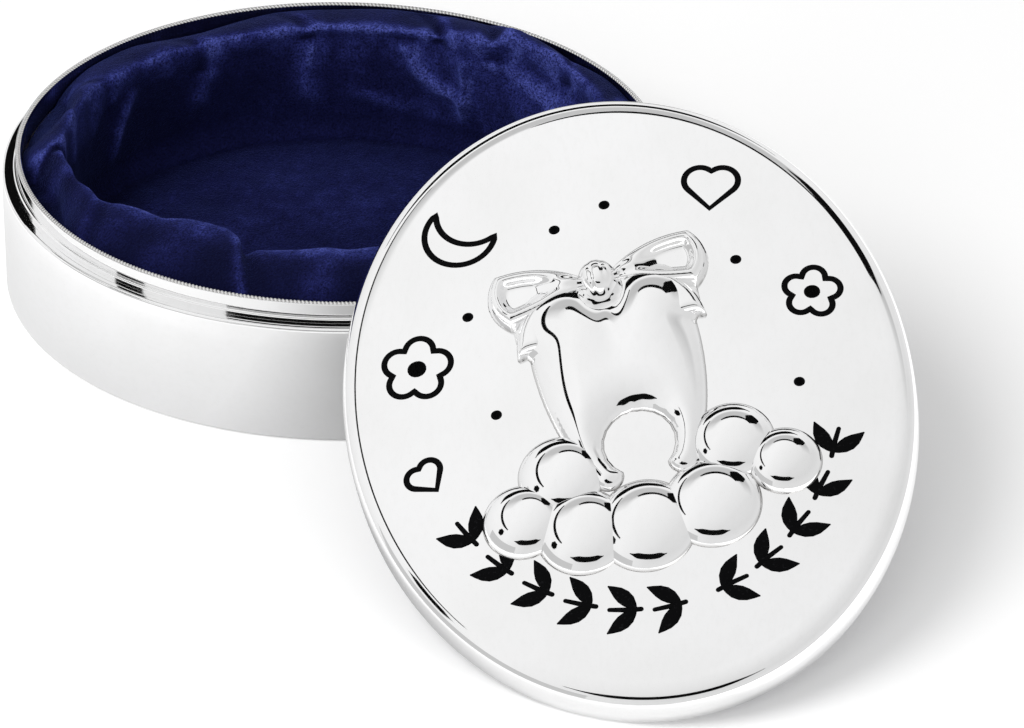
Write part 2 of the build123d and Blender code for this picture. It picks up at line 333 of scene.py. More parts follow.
def corner(centre, radius, start, end, steps):
    # Points of a rounded corner as inset and height; angles in degrees, inset growing inwards
    return [(centre[0] - radius * math.cos(math.radians(start + (end - start) * i / steps)),
             centre[1] + radius * math.sin(math.radians(start + (end - start) * i / steps)))
            for i in range(steps + 1)]


def smooth(value, low, high):
    # From 0 at low to 1 at high, eased at both ends
    share = min(1.0, max(0.0, (value - low) / (high - low)))
    return share * share * (3 - 2 * share)


# The cup. Its hollow's rows are insets and heights over the floor.

cup = dict(wall=1.0, footRound=0.45, ledgeRound=0.3, crisp=0.015, rows=(3.0, 6.0, 9.0), insideRow=6.0,
           hollow=((1.0, 0.4), (1.12, 0.12), (1.4, 0.0)), rings=(7.0, 14.0, 20.0), underEdge=1.5, steps=384)


def cupSection():
    foot, ledge, wall, crisp = cup["footRound"], cup["ledgeRound"], cup["wall"], cup["crisp"]
    top = box["wallHeight"]
    points = corner((foot, foot), foot, -90, 0, 6)
    points += [(0.0, height) for height in cup["rows"]]
    points += corner((ledge, top - ledge), ledge, 0, 90, 6)
    # Close rows beside each corner keep the shading of the flats flat.
    points += [(ledge + 0.02, top), (wall - 2 * crisp, top), (wall - crisp, top), (wall, top - crisp)]
    points.append((wall, cup["insideRow"]))
    points += [(inset, box["floor"] + height) for inset, height in cup["hollow"]]
    points += [(inset, box["floor"]) for inset in cup["rings"]]
    points += [(inset, 0.0) for inset in (*reversed(cup["rings"]), cup["underEdge"])]
    return points


cupPoints = cupSection()
shape = ovalTurned(lambda turn: cupPoints, len(cupPoints), cup["steps"])
# The section stops short of the middle: the ring's inner wall goes, and a plug closes the floor and underside.
halfLong, halfShort = box["halfLength"] - cup["rings"][-1], box["halfWidth"] - cup["rings"][-1]
middle = [face for face in shape.faces
          if all(math.hypot(vert.co.x / halfLong, vert.co.y / halfShort) < 1.001 * mm for vert in face.verts)]
bmesh.ops.delete(shape, geom=middle, context="FACES")
bmesh.ops.holes_fill(shape, edges=openEdges(shape), sides=0)
baseCup = objectFrom(shape, "polishedCup", cupSilver, "base", "silver_plate", "base_cup")
print("cup made", len(baseCup.data.polygons))


# The neck ring, with the fine milling along its upper inner edge

neck = dict(outer=1.05, waist=1.16, inner=1.65, top=12.95, foot=0.4, beadHeight=0.45, beadWidth=0.12,
            beadRound=0.15, landDrop=0.12, landRound=0.05, crisp=0.012, insideRow=6.0,
            ticks=520, perTick=4, tickDepth=0.085, twist=1.3, cordRadius=0.22, cordDrop=0.55)


def neckSection(turn):
    top, outer, inner, base, crisp = neck["top"], neck["outer"], neck["inner"], box["wallHeight"], neck["crisp"]
    bead, beadTop, beadRound = outer - neck["beadWidth"], base + neck["beadHeight"], neck["beadRound"]
    waist, land, landRound = neck["waist"], top - neck["landDrop"], neck["landRound"]
    points = [(outer + neck["foot"], box["floor"]), (outer, box["floor"] + neck["foot"]), (outer, base - 0.03),
              (bead, base - 0.005), (bead, base - 0.005 + crisp), (bead, beadTop - beadRound - crisp)]
    points += corner((bead + beadRound, beadTop - beadRound), beadRound, 0, 90, 6)
    points += [(bead + beadRound + crisp, beadTop), (waist - 2 * crisp, beadTop), (waist - crisp, beadTop),
               (waist, beadTop + crisp), (waist, beadTop + 2 * crisp), (waist, land - landRound - crisp)]
    points += corner((waist + landRound, land - landRound), landRound, 0, 90, 4)
    points = [(*point, 0.0) for point in points]
    # A milled cord finishes the inner edge; its teeth slant a little round it. Each point's third value, how deep it
    # lies in a groove, darkens the plate there as painted shade.
    cord = neck["cordRadius"]
    for degrees in range(20, 181, 20):
        groove = 0.5 - 0.5 * math.cos(turn * neck["ticks"] + math.radians(degrees) * neck["twist"])
        radius = cord - neck["tickDepth"] * groove
        points.append((inner - cord - radius * math.cos(math.radians(degrees)),
                       top - cord + radius * math.sin(math.radians(degrees)), groove))
    return points + [(inner, height, 0.0) for height in (top - neck["cordDrop"], neck["insideRow"], box["floor"])]


shape = ovalTurned(neckSection, len(neckSection(0.0)), neck["ticks"] * neck["perTick"], "crease")
neckRing = objectFrom(shape, "milledNeck", neckSilver, "base", "silver_plate", "neck_ring")
print("neck made", len(neckRing.data.polygons))


# The velvet lining of the cup: a padded roll along the rim, then the wall down to the floor. The roll's shares run
# across it from the rim to its inner side, then under; climbs are the heights there, of the crest's, once it turns.

lining = dict(edge=1.72, edgeTop=12.2, snugRise=0.48, wall=5.5, back=4.25, tuck=10.6, rollWidth=4.15, rollRise=0.88,
              shares=(0.0, 0.08, 0.18, 0.3, 0.43, 0.56, 0.68, 0.78, 0.86, 0.93, 0.98, 1.0, 0.985, 0.95),
              ridgeRow=8, noseRow=11, climbs=(0.95, 0.78, 0.45, -0.05, -0.6), steps=900, wrinkle=0.26, foldSpan=3.0,
              slant=8.0, perDegree=0.33, wallRows=13, wallFoot=5.2, hidden=2.2,
              foot=((0.26, 4.5, 0.1), (0.5, 4.05, 0.12), (0.82, 3.68, 0.13), (1.25, 3.26, 0.13), (1.8, 2.85, 0.13)))
# Each fold: its turn in degrees, the roll's reach before and after it, its rise before and after, and its crease,
# which also sets the painted highlight beside it and the painted shade in it
folds = [(20, 0.80, 0.76, 0.5, 0.7, 0.5), (37, 0.62, 0.56, 0.5, 1.0, 0.7), (55, 0.60, 0.85, 1.5, 1.3, 1.0),
         (68, 0.95, 0.86, 0.8, 0.25, 0.9), (97, 0.84, 0.94, 0.25, 0.4, 0.5), (122, 0.92, 1.0, 0.3, 0.5, 0.5),
         (150, 0.92, 0.86, 0.5, 0.7, 0.35), (183, 0.88, 0.82, 1.05, 0.9, 1.0), (212, 0.88, 0.98, 1.1, 1.0, 0.35),
         (228, 1.34, 1.34, 1.1, 1.1, 0.0), (242, 1.68, 1.68, 1.2, 1.2, 0.0), (249, 1.50, 1.22, 1.2, 0.9, 1.0),
         (285, 1.46, 1.46, 1.0, 1.0, 0.0), (318, 1.30, 1.0, 0.9, 0.5, 0.6)]
# Small ridges across the roll: turn, height and width in degrees
pleats = [(172, 0.35, 1.6), (190, 0.45, 1.9), (199, 0.2, 2.2), (58, 0.4, 2.0), (44, 0.3, 1.8), (75, 0.3, 1.8),
          (104, 0.22, 2.6), (134, 0.25, 2.0), (160, 0.2, 2.4), (226, 0.14, 4.0), (240, 0.12, 3.0), (272, 0.14, 3.0),
          (305, 0.2, 2.6), (340, 0.25, 2.4)]
# Where the cloth stands off the rim: turn, how far, and width in degrees
stoodOff = [(167, 2.0, 10), (200, 1.9, 11), (97, 0.45, 9), (44, 1.0, 7), (122, 0.5, 8), (28, 0.7, 7)]
# Soft folds of the wall: places as turn and height, how far each stands out, and its width in millimetres
swags = [(((65, 12.5), (64.5, 9.0), (65.5, 4.4)), 0.8, 0.5),
         (((80, 13.0), (76, 9.6), (71, 8.2), (64, 7.6)), 0.7, 0.55),
         (((60, 13.5), (57, 11.4), (48, 10.0), (38, 9.4)), 0.55, 0.6),
         (((98, 12.5), (101, 8.5), (99, 5.0)), 0.35, 0.8), (((120, 12.5), (126, 8.0)), 0.35, 0.9),
         (((144, 11.5), (150, 8.0), (153, 6.0)), 0.5, 0.6), (((88, 6.5), (72, 5.2)), 0.3, 0.7),
         (((50, 8.0), (40, 5.0)), 0.4, 0.8)]


def apart(degrees, other):
    return (degrees - other + 180) % 360 - 180


def rollAt(degrees):
    # Reach and rise of the roll at that turn, how much a fold pinches it, and the painted highlight beside the fold
    for fold, after in zip(folds, folds[1:] + folds[:1]):
        span, along = (after[0] - fold[0]) % 360, (degrees - fold[0]) % 360
        if along <= span:
            share = along / span
            swell = math.sin(math.pi * share)
            reach = (fold[2] * (1 - share) + after[1] * share) * (1 + 0.04 * swell)
            rise = (fold[4] * (1 - share) + after[3] * share) * (1 + 0.06 * swell)
            over = smooth(along, 0, lining["foldSpan"])
            reach, rise = fold[1] + (reach - fold[1]) * over, fold[3] + (rise - fold[3]) * over
            foldHighlight = fold[5] * math.exp(-(along / 0.9) ** 2) + after[5] * math.exp(-((span - along) / 1.5) ** 2)
            return reach, rise, fold[5] * math.exp(-(apart(along, lining["foldSpan"]) / 1.7) ** 2), foldHighlight


def swagAt(degrees, height):
    # How far the cloth of the wall stands out there
    out = 0.0
    for line, proud, width in swags:
        nearest = 99.0
        for (turnA, a), (turnB, b) in zip(line, line[1:]):
            x, y = apart(turnA, degrees) * lining["perDegree"], a - height
            ex, ey = apart(turnB, turnA) * lining["perDegree"], b - a
            share = min(1.0, max(0.0, -(x * ex + y * ey) / (ex * ex + ey * ey)))
            nearest = min(nearest, math.hypot(x + ex * share, y + ey * share))
        out += proud * math.exp(-(nearest / width) ** 1.5)
    return out


def humps(degrees, table, drift=0.0):
    return sum(size * math.exp(-(apart(degrees, place - drift) / width) ** 2) for place, size, width in table)


def liningSection(turn):
    # Places of the section with their crest, the share of painted blue sheen on the pile, low where shade is painted
    x, y = math.cos(turn), math.sin(turn)
    degrees = math.degrees(turn)
    slow = noise.noise(Vector((x * 2.4, y * 2.4, 1.7)))
    quick = noise.noise(Vector((x * 8.5, y * 8.5, 5.2)))
    snug = smooth(apart(degrees, 65), -50, -35) * smooth(apart(degrees, 65), 48, 36)  # the back fills the rim
    away = humps(degrees, stoodOff) * (1 - 0.7 * snug)
    start = (lining["edge"] + away + 0.12 * max(0.0, quick),
             lining["edgeTop"] + lining["snugRise"] * snug + 0.12 * quick - 1.2 * min(1.0, away))
    points = []
    for i, share in enumerate(lining["shares"]):
        reach, rise, pinch, foldHighlight = rollAt((degrees - lining["slant"] * (1 - share) * 0.9) % 360)
        reach += 0.05 * slow + 0.045 * quick
        rise += 0.16 * slow + 0.2 * quick
        ridge = humps(degrees, pleats, 4 * (1 - share))
        nose = lining["edge"] + lining["rollWidth"] * reach
        crest = neck["top"] + lining["rollRise"] * rise + ridge * 0.55 - 0.5 * pinch
        inset = start[0] + (nose - start[0]) * share
        if i <= lining["ridgeRow"]:
            climb = math.sin(share / lining["shares"][lining["ridgeRow"]] * math.pi / 2) ** 0.8
        else:
            climb = lining["climbs"][i - lining["ridgeRow"] - 1]
        across = share if i <= lining["noseRow"] else 2 - share
        # Painted light: a painted sheen along the roll's inner ridge and a thin painted highlight at its edge,
        # weaker on the left, painted shade near the rim and in the fold creases, painted highlights on pleats and
        # beside folds, and some random tone
        paintedLightAndTone = 0.1 * smooth(share, 0.02, 0.25) + (0.66 + 0.24 * x) * math.exp(-(across - 0.9) ** 2 / 0.03)
        paintedLightAndTone += 0.6 * math.exp(-(across - 0.95) ** 2 / 0.003)
        paintedLightAndTone = paintedLightAndTone * (0.9 + 0.14 * x) + 1.1 * ridge + 0.3 * quick - 0.6 * pinch + 0.5 * foldHighlight
        points.append((inset - 0.25 * pinch * share, start[1] + (crest - start[1]) * climb,
                       max(0.0, min(1.0, paintedLightAndTone))))
    last = points[-1]
    wall = lining["wall"] + 0.15 * slow
    lit = 0.05 + 0.03 * x + 0.2 * max(0.0, y) * (1 + 1.2 * x)  # the far wall faces the light
    for i in range(lining["wallRows"]):
        share = (i + 1) / lining["wallRows"]
        height = last[1] + (lining["wallFoot"] - last[1]) * share
        out = swagAt(degrees, height) * smooth(height, lining["wallFoot"] - 0.3, lining["wallFoot"] + 1.5)
        inset = last[0] + (wall + 0.1 * share - last[0]) * smooth(share, 0, 0.55) + out
        # Painted light on the wall: a painted sheen near its top that fades downwards, more of it on the lit far
        # wall, and painted highlights on the swags
        paintedLightAndTone = (0.16 + 0.12 * x) * smooth(share, 0.5, 0.0) + lit + 1.4 * out
        points.append((inset, height, min(1.0, paintedLightAndTone)))
    # The foot runs down into the floor pad, and the back up behind the roll.
    # The foot's third values are a low, even painted sheen
    points += [(wall + inwards, height, paintedLightAndTone) for inwards, height, paintedLightAndTone in lining["foot"]]
    points += [(inset, height, 0.0) for inset, height in (
        (lining["wall"] + 0.6, lining["hidden"] + 0.1), (lining["wall"], lining["hidden"]),
        (lining["wall"], box["floor"]), (lining["back"], box["floor"]), (lining["back"], lining["tuck"]),
        (lining["edge"], lining["tuck"]), (lining["edge"], start[1] - 0.2))]
    return points


shape = ovalTurned(liningSection, len(liningSection(0.0)), lining["steps"], "crest")
for vert in shape.verts:
    turn = math.atan2(vert.co.y / box["halfWidth"], vert.co.x / box["halfLength"])
    pucker = noise.noise(Vector((vert.co.x, vert.co.y, vert.co.z * 0.6)) * 300) * lining["wrinkle"] * mm
    inwards = Vector((-math.cos(turn), -math.sin(turn), 0.5))
    vert.co += inwards * pucker * smooth(vert.co.z / mm, 3.0, 10.0) * smooth(vert.co.z / mm, 11.6, 12.6)
velvetLining = objectFrom(shape, "velvetLining", velvetCloth, "base", "velvet", "velvet_wall")
print("lining made", len(velvetLining.data.polygons))


# The floor pad. Its rim's rows are insets from its edge and heights over its top.

pad = dict(edge=5.75, foot=0.9, top=2.8, crown=0.5, cells=110, gridInset=6.25, hollow=2.2, reach=19.0,
           rim=((0.3, 0.9), (0.1, 0.7), (0, 0.3)))


def padOut(spot):
    # The share of the way from the pad's middle to its edge
    return math.hypot(spot.x / (box["halfLength"] - pad["edge"]), spot.y / (box["halfWidth"] - pad["edge"]))


def padRise(away):
    # The pad's edge curves up the wall like the inside of a bowl; away is the distance from its edge
    return pad["hollow"] - math.sqrt(max(0.0, pad["hollow"] ** 2 - max(0.0, pad["hollow"] - away) ** 2))


shape = ovalGrid(pad["cells"], pad["gridInset"])
for vert in shape.verts:
    out = padOut(vert.co)
    dip = noise.noise(Vector((vert.co.x, vert.co.y, 3.0)) * 0.16) * 0.3
    dip += noise.noise(Vector((vert.co.x, vert.co.y, 7.0)) * 0.45) * 0.07
    vert.co.z = (pad["top"] + pad["crown"] * (1 - out * out) + dip * smooth(1 - out, 0, 0.25)
                 + padRise((1 - out) * pad["reach"]))
closeRows(shape, [(pad["edge"] + inset, pad["top"] + rise) for inset, rise in pad["rim"]]
          + [(pad["edge"], pad["foot"] + 0.6), (pad["edge"] + 0.1, pad["foot"])])
# The pad's crest is a painted sheen with random tone, fading to painted shade at the edge where the pad meets the
# wall
paintedLightLayer = shape.verts.layers.float.new("crest")
for vert in shape.verts:
    inner = smooth(1 - padOut(vert.co), 0.02, 0.3)
    vert[paintedLightLayer] = (0.24 + 0.16 * noise.noise(vert.co * 0.17)) * inner
    vert.co *= mm
velvetPad = objectFrom(shape, "velvetPad", velvetCloth, "base", "velvet", "velvet_floor")
print("floor pad made", len(velvetPad.data.polygons))


# The lid. In its own frame right is X, up along the long axis is Y, and out from the panel is Z.
# The roll is a curve from the panel to the skirt, and the rows go on from it round the edge and inside,
# all as insets and heights.

lid = dict(lean=24.5, compass=-13.5, turn=117.5, middle=(25.1036, -31.2561, 10.9762), skirtHeight=2.95,
           panelInset=1.35, panelRise=1.35, gridInset=2.1, cells=150,
           roll=((2.1, 3.035), (1.2, 2.955), (0.0, 2.74), (0.0, 1.55)), rollSteps=14,
           rows=((0, 1.0), (0, 0.12), (0.05, 0.03), (0.15, 0), (0.66, 0), (0.76, 0.03), (0.81, 0.12), (0.81, 1.0),
                 (0.81, 1.85), (0.95, 2.15), (1.3, 2.25), (9.0, 2.25)))


def lidMatrix():
    lean, compass, turn = (math.radians(lid[key]) for key in ("lean", "compass", "turn"))
    out = Vector((math.sin(lean) * math.sin(compass), -math.sin(lean) * math.cos(compass), math.cos(lean)))
    level = Vector((math.cos(compass), math.sin(compass), 0))
    rising = out.cross(level)
    up = level * math.cos(turn) + rising * math.sin(turn)
    right = -out.cross(up)
    turned = Matrix((right, up, out)).transposed().to_4x4()
    return Matrix.Translation(Vector(lid["middle"]) * mm) @ turned @ Matrix.Scale(mm, 4)


ontoLid = lidMatrix()


def panelHeight(right, up):
    fall = ((up / (box["halfLength"] - lid["panelInset"])) ** 2
            + (right / (box["halfWidth"] - lid["panelInset"])) ** 2)
    return lid["skirtHeight"] + lid["panelRise"] * (1 - fall)


# The relief: outlines run through arcs, each by its start, middle and end, as shares of its half sizes.
# The foot of each form stands in the panel to the sunk depth, a little outside its outline.
sunk = dict(depth=0.3, reach=0.1, trim=0.16, eased=0.45, below=0.05)
toothForm = dict(half=(6.8, 9.52), up=0.8, rise=1.35, soft=3.6, low=(-7.4, -9.4), high=(7.4, 10.9),
                 cusp=(2.7, 5.2), cuspTall=1.5, cuspWidth=2.6, cuspRise=0.45, dip=0.3, dipWidth=1.1, shares=(
    (0.62, -0.90), (0.90, -0.30), (0.98, 0.35), (0.78, 0.98), (0, 0.80), (-0.78, 0.98), (-0.98, 0.35),
    (-0.90, -0.30), (-0.62, -0.90), (-0.44, -1.0), (-0.26, -0.86), (0, -0.34), (0.26, -0.86), (0.44, -1.0)))
bowForm = dict(half=(8.75, 3.2), up=9.6, rise=1.5, soft=1.0, hollow=0.9, knot=1.7, knotTall=1.12,
               creases=(-0.08, 0.3), creaseDepth=0.3, creaseWidth=0.26,
               loop=((0.05, 0), (0.40, 0.62), (0.90, 0.80), (1.0, 0), (0.86, -0.72), (0.42, -0.46)),
               tail=((0.10, 0), (0.42, -0.70), (0.46, -1.75), (0.66, -1.55), (0.86, -1.60), (0.74, -0.60),
                     (0.34, 0.10), (0.22, 0.12)))
cloudForm = dict(half=13.5, up=-9.6, rise=1.25, puffs=(
    (-0.76, 0.02, 0.24), (-0.48, 0.24, 0.26), (-0.44, -0.14, 0.28), (-0.08, -0.20, 0.30),
    (0.32, -0.16, 0.29), (0.52, 0.20, 0.25), (0.78, 0, 0.22)))


def arcThrough(a, b, c, steps=16):
    # Points from a towards c on the arc through b
    d = 2 * (a[0] * (b[1] - c[1]) + b[0] * (c[1] - a[1]) + c[0] * (a[1] - b[1]))
    if abs(d) < 1e-9:
        return [(a[0] + (c[0] - a[0]) * i / steps, a[1] + (c[1] - a[1]) * i / steps) for i in range(steps)]
    squares = [p[0] ** 2 + p[1] ** 2 for p in (a, b, c)]
    x = (squares[0] * (b[1] - c[1]) + squares[1] * (c[1] - a[1]) + squares[2] * (a[1] - b[1])) / d
    y = (squares[0] * (c[0] - b[0]) + squares[1] * (a[0] - c[0]) + squares[2] * (b[0] - a[0])) / d
    turns = [math.atan2(p[1] - y, p[0] - x) for p in (a, b, c)]
    forward = (turns[2] - turns[0]) % (2 * math.pi)
    if (turns[1] - turns[0]) % (2 * math.pi) > forward:
        forward -= 2 * math.pi
    radius = math.hypot(a[0] - x, a[1] - y)
    return [(x + radius * math.cos(turns[0] + forward * i / steps),
             y + radius * math.sin(turns[0] + forward * i / steps)) for i in range(steps)]


def outline(shares, half, up, side=1):
    points = [(half[0] * x * side, half[1] * y + up) for x, y in shares]
    points.append(points[0])
    found = []
    for i in range(0, len(points) - 2, 2):
        found += arcThrough(*points[i:i + 3])
    return found


def wayInto(points):
    # How far each place lies inside a closed outline, in millimetres, negative outside it
    def gapAt(right, up):
        nearest = np.full(right.shape, 1e9)
        inside = np.zeros(right.shape, bool)
        for (ax, ay), (bx, by) in zip(points, points[1:] + points[:1]):
            ex, ey = bx - ax, by - ay
            share = np.clip(((right - ax) * ex + (up - ay) * ey) / max(ex * ex + ey * ey, 1e-12), 0, 1)
            nearest = np.minimum(nearest, (right - ax - share * ex) ** 2 + (up - ay - share * ey) ** 2)
            crosses = (ay > up) != (by > up)
            inside ^= crosses & (right < ex * (up - ay) / (ey if abs(ey) > 1e-12 else 1e-12) + ax)
        return np.where(inside, 1.0, -1.0) * np.sqrt(nearest)
    return gapAt


def pillow(gap, rise, soft, full=2.1):
    # Swells from a steep edge to its full rise over the soft width; below the panel outside the outline
    share = np.clip((gap + sunk["reach"]) / (soft + sunk["reach"]), 0, 1)
    return (rise + sunk["depth"]) * (1 - (1 - share) ** full) ** (1 / full) - sunk["depth"]


def bell(value, width):
    return np.exp(-(value / width) ** 2)


def raisedForm(points, heightAt, low, high, cell, passes):
    # A patch of fine grid lifted to the form's height, eased inside, trimmed at its foot and closed below
    shape = bmesh.new()
    wide, tall = high[0] - low[0], high[1] - low[1]
    bmesh.ops.create_grid(shape, x_segments=round(wide / cell), y_segments=round(tall / cell), size=0.5)
    for vert in shape.verts:
        vert.co.x, vert.co.y = low[0] + wide * (vert.co.x + 0.5), low[1] + tall * (vert.co.y + 0.5)
    spots = np.array([vert.co for vert in shape.verts])
    gap = wayInto(points)(spots[:, 0], spots[:, 1])
    for vert, height in zip(shape.verts, heightAt(gap, spots[:, 0], spots[:, 1])):
        vert.co.z = float(height)
    outside = [vert for vert, g in zip(shape.verts, gap) if g < -sunk["trim"]]
    softened = [vert for vert, g in zip(shape.verts, gap) if g > sunk["eased"]]
    for _ in range(passes):
        bmesh.ops.smooth_vert(shape, verts=softened, factor=0.5, use_axis_x=False, use_axis_y=False, use_axis_z=True)
    bmesh.ops.delete(shape, geom=outside, context="VERTS")
    made = bmesh.ops.extrude_edge_only(shape, edges=openEdges(shape))["geom"]
    for vert in vertsOf(made):
        vert.co.z = -sunk["depth"] - sunk["below"]
    bmesh.ops.holes_fill(shape, edges=edgesOf(made), sides=0)
    return shape


def moundForm(right, up, reach, rise, full=2.2, rows=16, steps=72, tall=1.0):
    # A round swelling: its profile is spun, and its foot closed
    shape = bmesh.new()
    points = []
    for i in range(rows + 1):
        away = math.sin(math.pi / 2 * i / rows)
        height = (rise + sunk["depth"]) * (1 - away ** full) ** (1 / 1.9) - sunk["depth"]
        points.append(shape.verts.new((reach * away, 0, height)))
    edges = [shape.edges.new(pair) for pair in zip(points, points[1:])]
    bmesh.ops.spin(shape, geom=points + edges, cent=(0, 0, 0), axis=(0, 0, 1), angle=2 * math.pi, steps=steps,
                   use_merge=True, dvec=(0, 0, 0), use_duplicate=False)
    bmesh.ops.remove_doubles(shape, verts=shape.verts, dist=1e-5)
    bmesh.ops.holes_fill(shape, edges=openEdges(shape), sides=0)
    for vert in shape.verts:
        vert.co = Vector((vert.co.x + right, vert.co.y * tall + up, vert.co.z))
    return shape


def toothHeight(gap, right, up):
    height = pillow(gap, toothForm["rise"], toothForm["soft"], 1.9)
    cuspRight, cuspUp = toothForm["cusp"]
    for side in (-1, 1):  # two cusps, with a shallow dip between them
        away = np.hypot(right - cuspRight * side, (up - cuspUp) / toothForm["cuspTall"])
        height += toothForm["cuspRise"] * bell(away, toothForm["cuspWidth"]) * np.clip(gap / 2.0, 0, 1)
    dip = toothForm["dip"] * bell(right, toothForm["dipWidth"])
    return height - dip * np.clip((up - 1.0) / 5.0, 0, 1) * np.clip(gap / 1.5, 0, 1)


def loopHeight(side):
    # A hollow loop with two creases that run in to the knot
    def heightAt(gap, right, up):
        away = np.clip((right * side - 1.0) / 6.5, 0, 1)
        height = pillow(gap, bowForm["rise"] * 0.95, bowForm["soft"])
        hollow = np.clip((gap - 0.75) / 0.7, 0, 1)
        height -= bowForm["hollow"] * hollow * hollow * (3 - 2 * hollow) * np.clip((away - 0.25) / 0.35, 0, 1)
        for lean in bowForm["creases"]:
            crease = bell((up - bowForm["up"]) - lean * (right * side), bowForm["creaseWidth"])
            height -= bowForm["creaseDepth"] * crease * np.clip(1 - away * 1.9, 0, 1) * np.clip(gap / 0.3, 0, 1)
        return height
    return heightAt


def tailHeight(side):
    def heightAt(gap, right, up):
        middle = right * side - 4.3 + 0.2 * (up - bowForm["up"])
        height = pillow(gap, bowForm["rise"] - 0.35, 0.7)
        return height - 0.3 * bell(middle, 0.4) * np.clip(gap / 0.4, 0, 1)
    return heightAt


line = outline(toothForm["shares"], toothForm["half"], toothForm["up"])
forms = [raisedForm(line, toothHeight, toothForm["low"], toothForm["high"], 0.115, 24)]
for side in (-1, 1):
    # Each part of the bow: its height, its near and far reach, its lowest and highest place, cell and passes
    for part, heightAt, near, far, bottom, top, cell, passes in (
            ("tail", tailHeight(side), 0.5, 8.0, 3.4, 10.6, 0.1, 4),
            ("loop", loopHeight(side), 0.1, 9.3, 6.7, 12.9, 0.08, 12)):
        line = outline(bowForm[part], bowForm["half"], bowForm["up"], side)
        low, high = sorted((near * side, far * side))
        forms.append(raisedForm(line, heightAt, (low, bottom), (high, top), cell, passes))
forms.append(moundForm(0, bowForm["up"], bowForm["knot"], bowForm["rise"] + 0.5, 2.6, tall=bowForm["knotTall"]))
for vert in forms[-1].verts:
    pleat = max(math.exp(-((vert.co.x - 0.55) / 0.16) ** 2), math.exp(-((vert.co.x + 0.5) / 0.16) ** 2))
    vert.co.z -= 0.09 * pleat * smooth(vert.co.z, 0.2, 1.2)
for x, y, size in cloudForm["puffs"]:
    half = cloudForm["half"]
    forms.append(moundForm(half * x, cloudForm["up"] + half * y, half * size, cloudForm["rise"]))

figure = bmesh.new()
for form in forms:
    bmesh.ops.recalc_face_normals(form, faces=form.faces)
    mesh = meshFrom(form, "form", lidSilver)
    figure.from_mesh(mesh)
    bpy.data.meshes.remove(mesh)
# Painted shade at the foot of each form, where it meets the panel
creaseShadeLayer = figure.verts.layers.float.new("crease")
for vert in figure.verts:
    vert[creaseShadeLayer] = 1 - smooth(vert.co.z, 0.0, 0.28)
    vert.co.z += panelHeight(vert.co.x, vert.co.y)
bmesh.ops.transform(figure, matrix=ontoLid, verts=figure.verts)
reliefFigure = objectFrom(figure, "reliefFigure", lidSilver, "lid", "silver_plate")
print("figure made", len(reliefFigure.data.polygons))


def rollPoint(share):
    # The panel's edge rolls over to the skirt along one cubic curve of inset and height
    weights = [(1 - share) ** 3, 3 * share * (1 - share) ** 2, 3 * share ** 2 * (1 - share), share ** 3]
    return [sum(weight * point[i] for weight, point in zip(weights, lid["roll"])) for i in (0, 1)]


shape = ovalGrid(lid["cells"], lid["gridInset"], upright=True)
for vert in shape.verts:
    vert.co.z = panelHeight(vert.co.x, vert.co.y)
rolled = [rollPoint((i + 1) / lid["rollSteps"]) for i in range(lid["rollSteps"])]
closeRows(shape, (*rolled, *lid["rows"]), upright=True, gridInset=lid["gridInset"])
bmesh.ops.transform(shape, matrix=ontoLid, verts=shape.verts)
lidShell = objectFrom(shape, "reliefLid", lidSilver, "lid", "silver_plate", "lid_shell")
print("lid made", len(lidShell.data.polygons))


# The enamel in the engraved lines: strokes with round ends, laid flush on the panel

enamel = dict(stroke=0.25, proud=0.035, sunk=0.12, round=0.2)
motif = dict(
    hearts=[(10.4, 15.8, 1.5, -15), (-16.6, -3.4, 1.1, 24)],
    moon=(-9.6, 17.4, 3.1, 24), moonHollow=0.86, moonShift=0.62,
    flowers=[(-15.4, 6.4, 3.0), (16.0, 4.6, 2.5)], petals=5, petal=0.46, eye=0.24, dot=0.42,
    dots=[(0.12, 0.86), (-0.14, 0.80), (-0.64, 0.50), (0.66, 0.46), (0.80, -0.16), (-0.62, 0.02)],
    garland=(16.5, 19.35), ends=(210, 330), sprigs=11, stem=2.9, stemWidths=[0.2, 0.22, 0.18],
    leaf=2.9, leafTurn=42, leafBow=0.12, leafShares=(0, 0.12, 0.3, 0.5, 0.7, 0.88, 1),
    leafWidths=[0.12, 0.34, 0.56, 0.62, 0.5, 0.26, 0.08])


def placed(points, right, up, turn):
    c, s = math.cos(math.radians(turn)), math.sin(math.radians(turn))
    return [(right + x * c - y * s, up + x * s + y * c) for x, y in points]


def aroundCircle(x, y, radius, start, end, steps):
    return [(x + radius * math.cos(math.radians(start + (end - start) * i / steps)),
             y + radius * math.sin(math.radians(start + (end - start) * i / steps))) for i in range(steps + 1)]


def heartLine(lobe):
    side = lobe * math.sqrt(0.5)
    points = [(0, -lobe * math.sqrt(2))]
    points += aroundCircle(side, side, lobe, -45, 135, 18)
    points += aroundCircle(-side, side, lobe, 45, 225, 18)
    return points


def moonLine(size):
    radius, bite = size - enamel["stroke"], size * motif["moonHollow"] + enamel["stroke"]
    x, y = size * motif["moonShift"], size * motif["moonShift"] / 2
    gap = math.hypot(x, y)
    base = math.degrees(math.atan2(y, x))
    outer = math.degrees(math.acos((gap * gap + radius * radius - bite * bite) / (2 * gap * radius)))
    inner = math.degrees(math.acos((bite * bite + gap * gap - radius * radius) / (2 * gap * bite)))
    points = aroundCircle(0, 0, radius, base + outer, base + 360 - outer, 30)
    points += aroundCircle(x, y, bite, base + 180 + inner, base + 180 - inner, 22)[1:-1]
    return points


